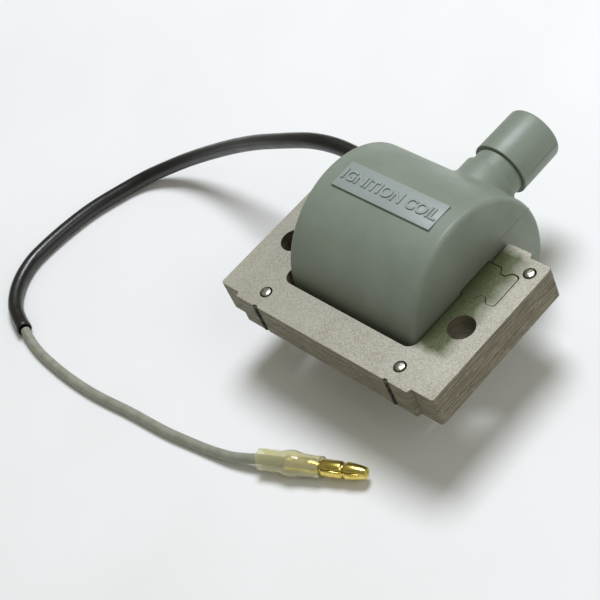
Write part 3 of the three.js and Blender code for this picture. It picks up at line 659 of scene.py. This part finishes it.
def label_letters():
    """Generic raised lettering in place of any mark."""
    text = bpy.data.curves.new("letters", "FONT")
    text.body = "IGNITION COIL"
    text.size = 4.0 * MM
    text.align_x = "CENTER"
    text.align_y = "CENTER"
    text.extrude = LETTER_HEIGHT
    text.offset = 0.05 * MM
    text.bevel_depth = 0.06 * MM
    text.resolution_u = 4
    shape = linked("letters", text)
    data = evaluated_mesh(shape)
    bpy.data.objects.remove(shape)
    middle = Vector(((CASE_LOW.x + CASE_HIGH.x) / 2, DRUM_AXIS.y, DRUM_AXIS.z + DRUM_RADIUS + LABEL_TOP))
    data.transform(Matrix.Translation(middle))
    bm = bmesh.new()
    bm.from_mesh(data)
    bmesh.ops.remove_doubles(bm, verts=bm.verts, dist=10 * MERGE_DISTANCE)
    return finished(bm, "label_letters", [LABEL_PLASTIC])


def joined(name, *parts):
    """Several objects as one piece, with the materials that their faces use."""
    bm = bmesh.new()
    materials = []
    for part in parts:
        names = [slot.material for slot in part.material_slots]
        start = len(bm.faces)
        bm.from_mesh(part.data)
        bm.faces.ensure_lookup_table()
        for face in bm.faces[start:]:
            material = names[min(face.material_index, len(names) - 1)]
            if material not in materials:
                materials.append(material)
            face.material_index = materials.index(material)
        bpy.data.objects.remove(part)
    return finished(bm, name, materials, JOINED_ANGLE)


def parting_line(x, ends, z, plastic):
    """Fin along Y at x, where the halves of a mould met."""
    start, end = (Vector((x, y, z)) for y in ends)
    return block("parting_line", start - FIN_HALF, end + FIN_HALF, materials=[plastic])


def make_case():
    ends = (DRUM_AXIS.y, DRUM_AXIS.y + DRUM_RADIUS - RIM_ROUND)
    fin = parting_line(CASE_HIGH.x - CASE_FIN_SUNK, ends, TOWER_AXIS.z, CASE_PLASTIC)
    shell = joined("moulded_case", drum_cup(), tower(), label_plate(), fin)
    place(shell, "root", "grey_plastic", "case")
    place(label_letters(), "root", "grey_plastic")


# Gland.
CAP = {"bore": 5.8 * MM, "end_wall": 1.4 * MM, "mouth_round": 0.15 * MM, "mouth_chamfer": 0.2 * MM,
       "end_round": 0.8 * MM, "taper": 0.1 * MM, "exit_chamfer": 0.3 * MM}
CAP_FIN_SUNK = 0.05 * MM
CAP_FIN_START = 0.3 * MM
GLAND_POINT = Vector((TOWER_AXIS.x, 0, TOWER_AXIS.z))


def make_cap():
    radius, bore, start, end = (CAP_HIGH.x - CAP_LOW.x) / 2, CAP["bore"], CAP_LOW.y, CAP_HIGH.y
    mouth, shoulder, floor = CAP["mouth_round"], end - CAP["end_round"], end - CAP["end_wall"]
    profile = [
        (bore + CAP["mouth_chamfer"], start),
        *round_corner((radius - mouth, start + mouth), mouth, -90, 0, 3),
        *round_corner((radius - CAP["taper"] - CAP["end_round"], shoulder), CAP["end_round"], 0, 90, 8),
        (CABLE_BORE + CAP["exit_chamfer"], end), (CABLE_BORE, end - CAP["exit_chamfer"]), (CABLE_BORE, floor),
        (bore, floor), (bore, start + CAP["mouth_chamfer"]),
    ]
    cap = turned("plain_cap", profile, "y", GLAND_POINT, [CAP_PLASTIC], TOWER_STEPS, closed=True)
    fins = []
    for side in (-1, 1):
        x = GLAND_POINT.x + side * (radius - CAP_FIN_SUNK)
        fins.append(parting_line(x, (start + CAP_FIN_START, shoulder), GLAND_POINT.z, CAP_PLASTIC))
    place(joined("screw_cap", cap, *fins), "cap", "grey_plastic", "gland_cap")


def make_rings():
    """The seal and the washer under the cap, each a turned ring with its edges taken off."""
    for name, node, (start, end), hole, edge, material, slot in (
        ("rubber_seal", "cable_seal", (SEAL_LOW, SEAL_HIGH), 3.7 * MM, 0.3 * MM, RUBBER, "black_rubber"),
        ("steel_washer", "gland_washer", (WASHER_LOW, WASHER_HIGH), 3.8 * MM, 0.1 * MM,
         WASHER_STEEL, "bright_steel"),
    ):
        outer = (end.x - start.x) / 2
        ring = [
            (hole + edge, start.y), (outer - edge, start.y), (outer, start.y + edge), (outer, end.y - edge),
            (outer - edge, end.y), (hole + edge, end.y), (hole, end.y - edge), (hole, start.y + edge),
        ]
        shape = turned(name, ring, "y", GLAND_POINT, [material], TOWER_STEPS, closed=True)
        place(shape, "gland", slot, node)


PIN = {"head": 2.2 * MM, "head_height": 0.8 * MM, "edge": 0.1 * MM, "shank": 1.2 * MM, "point": 3 * MM,
       "tip": 0.08 * MM, "tip_height": 0.05 * MM}


def make_contact():
    """High-tension pin: a flat head under the socket's floor and a point for the cable's core."""
    start, end, head, edge = CONTACT_LOW.y, CONTACT_HIGH.y, PIN["head"], PIN["edge"]
    neck = start + PIN["head_height"]
    profile = [
        (0, start), (head - edge, start), (head, start + edge), (head, neck - edge), (head - edge, neck),
        (PIN["shank"], neck), (PIN["shank"], end - PIN["point"]), (PIN["tip"], end - PIN["tip_height"]),
        (0, end),
    ]
    place(turned("contact_pin", profile, "y", GLAND_POINT, [BRASS]), "root", "brass", "high_tension_contact")


RESIN = {"dip": 0.25 * MM, "wall": 2.3 * MM, "floor": 2.4 * MM, "steps": 12}
RESIN_HOLE = Vector((0, 4.9, 4.75)) * MM  # half of its width and height


def make_potting():
    """Resin cast round the windings: its face dips from the meniscus at the drum's wall."""
    radius = (POTTING_HIGH.z - POTTING_LOW.z) / 2
    face, end, inner = POTTING_LOW.x, POTTING_HIGH.x, radius - RESIN["wall"]
    shares = [k / RESIN["steps"] for k in range(RESIN["steps"] + 1)]
    profile = [(radius * share, face + RESIN["dip"] * (1 - share ** 6)) for share in shares]
    profile += [(radius, end), (inner, end), (inner, face + RESIN["floor"]), (0, face + RESIN["floor"])]
    resin = turned("potting_fill", profile, "x", AXIS_POINT, [POTTING_RESIN], DRUM_STEPS)
    reach = Vector((CUT_LENGTH, 0, 0))
    bored(resin, block("core_cutter", AXIS_POINT - RESIN_HOLE - reach, AXIS_POINT + RESIN_HOLE))
    place(resin, "root", "potting_resin", "potting")


# Lead.
def smooth_path(route, steps=5):
    """The route's points in metres, with a Catmull-Rom curve drawn through them."""
    points = [Vector(p) * MM for p in route]
    ends = [2 * points[0] - points[1], *points, 2 * points[-1] - points[-2]]
    path = []
    for a, b, c, d in zip(ends, ends[1:], ends[2:], ends[3:]):
        for k in range(steps):
            t = k / steps
            path.append(0.5 * (2 * b + (c - a) * t + (2 * a - 5 * b + 4 * c - d) * t ** 2
                               + (3 * b - a - 3 * c + d) * t ** 3))
    return [*path, points[-1]]


def tube(name, path, diameter, material, capped):
    curve = bpy.data.curves.new(name, "CURVE")
    curve.dimensions = "3D"
    curve.bevel_depth = diameter / 2
    curve.bevel_resolution = 7
    curve.use_fill_caps = capped
    spline = curve.splines.new("POLY")
    spline.points.add(len(path) - 1)
    for point, at in zip(spline.points, path):
        point.co = (*at, 1)
    curve.materials.append(material)
    spline.use_smooth = True
    return linked(name, curve)


def make_lead():
    sleeve_path, wire_path = smooth_path(SLEEVE_ROUTE), smooth_path(WIRE_ROUTE)
    shape = tube("sleeve_line", sleeve_path, SLEEVE_DIAMETER, BLACK_PVC, capped=False)
    data = evaluated_mesh(shape)
    bpy.data.objects.remove(shape)
    data.shade_smooth()
    sleeve = linked("black_sleeve", data)
    wall = sleeve.modifiers.new("wall", "SOLIDIFY")
    wall.thickness = SLEEVE_WALL
    wall.offset = -1
    place(sleeve, "root", "black_sleeving", "lead_sleeve")
    wire = tube("grey_wire", wire_path, WIRE_DIAMETER, GREY_PVC, capped=True)
    place(wire, "root", "grey_insulation", "lead_wire")
    return sleeve, sleeve_path, wire, wire_path


def along_terminal(piece):
    """Turns and moves a piece made along X from 0 to where the terminal lies."""
    piece.data.transform(Matrix.Translation(TERMINAL_START) @ Matrix.Rotation(TERMINAL_HEADING, 4, "Z"))


# Profiles of the terminal: radius and distance along it, in millimetres.
COVER_PROFILE = [
    (2.5, 0.1), (2.52, 3), (2.5, 5.2), (2.72, 6.2), (3.0, 7.3), (3.1, 8.2), (3.0, 9.2), (2.7, 10.3),
    (2.55, 11.2), (2.5, 13), (2.5, 15.7),
]
COVER_WALL = 0.35 * MM
BULLET_PROFILE = [
    (0, 6.9), (1.5, 6.9), (1.78, 7.1), (1.8, 8), (1.7, 8.3), (1.7, 10.3), (1.8, 10.6), (1.8, 14.3),
    (1.35, 14.9), (1.35, 15.7), (1.9, 15.85), (2.0, 16.2), (2.0, 20.3), (1.9, 20.7), (1.6, 20.95),
    (1.55, 21.2), (1.7, 21.5), (1.97, 21.9), (2.0, 22.2), (1.85, 23.8), (1.6, 25.4), (1.42, 26.2),
    (1.25, 26.6), (0.8, 26.7), (0.5, 26.65), (0.35, 26.85), (0, 26.88),
]
SLIT_LOW = Vector((15.9, -3, -0.18)) * MM
SLIT_HIGH = Vector((28, -0.9, 0.18)) * MM
SLIT_TURN = math.radians(44)  # up from the bullet's -Y side


def make_terminal():
    origin = Vector((0, 0, 0))
    outside = [(r * MM, d * MM) for r, d in COVER_PROFILE]
    inside = [(r - COVER_WALL, d) for r, d in reversed(outside)]
    cover = turned("clear_sleeve", [*outside, *inside], "x", origin, [CLEAR_PVC], closed=True)
    along_terminal(cover)
    place(cover, "root", "clear_sleeving", "terminal_sleeve")
    bullet = turned("brass_bullet", [(r * MM, d * MM) for r, d in BULLET_PROFILE], "x", origin, [BRASS])
    slit = block("slit_cutter", SLIT_LOW, SLIT_HIGH)
    slit.data.transform(Matrix.Rotation(-SLIT_TURN, 4, "X"))
    bored(bullet, slit)
    along_terminal(bullet)
    place(bullet, "root", "brass", "bullet_terminal")
    return cover, bullet


# Inner pieces keep their CAD shape.
def finish_inner_nodes():
    for node, material in (
        ("primary_bobbin", NYLON), ("secondary_bobbin", NYLON), ("insulating_sleeve", NYLON),
        ("primary_winding", COPPER), ("secondary_tail", COPPER), ("earth_strip", BRASS),
        *((f"secondary_winding_{i}", COPPER) for i in range(1, 7)),
    ):
        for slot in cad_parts[node].material_slots:
            slot.material = material


# Studio.
def soft_light(name, at, size, power, colour):
    light = bpy.data.lights.new(name, "AREA")
    light.shape = "DISK"
    light.size = size
    light.energy = power
    light.color = linear(colour)[:3]
    lamp = linked(name, light)
    lamp.location = at
    lamp.rotation_euler = (-Vector(at)).to_track_quat("-Z", "Y").to_euler()


def make_studio():
    material, tree, shader = new_material("pale_paper", Roughness=0.9)
    cloud = mottle(tree, 60 * MM, 0.3, 0.7)
    colour = add(tree, "Mix", {"Factor": cloud, A: "#F1F1EF", B: "#F6F6F5"}, COLOUR, data_type="RGBA")
    dress(tree, shader, Base_Color=colour)
    bm = bmesh.new()
    bmesh.ops.create_grid(bm, x_segments=1, y_segments=1, size=2)
    bmesh.ops.translate(bm, verts=bm.verts, vec=(0, 0, FLOOR_LEVEL))
    floor = finished(bm, "floor", [material])
    soft_light("key_light", at=(-0.1, 0.3, 0.75), size=0.35, power=5.6, colour="#F2F6FF")
    soft_light("fill_light", at=(0.6, 0.1, 0.5), size=0.5, power=0.9, colour="#FFFFFF")
    world = bpy.data.worlds.new("studio")
    world.use_nodes = True
    background = world.node_tree.nodes["Background"]
    background.inputs["Color"].default_value = linear("#F4F2E2")
    background.inputs["Strength"].default_value = 0.27
    scene = bpy.context.scene
    scene.world = world
    scene.view_settings.view_transform = "Standard"


make_camera()
sleeve, sleeve_path, wire, wire_path = make_lead()
terminal_cover, bullet = make_terminal()
make_core()
make_rivets()
make_welds()
make_case()
make_cap()
make_rings()
make_contact()
make_potting()
finish_inner_nodes()
make_studio()
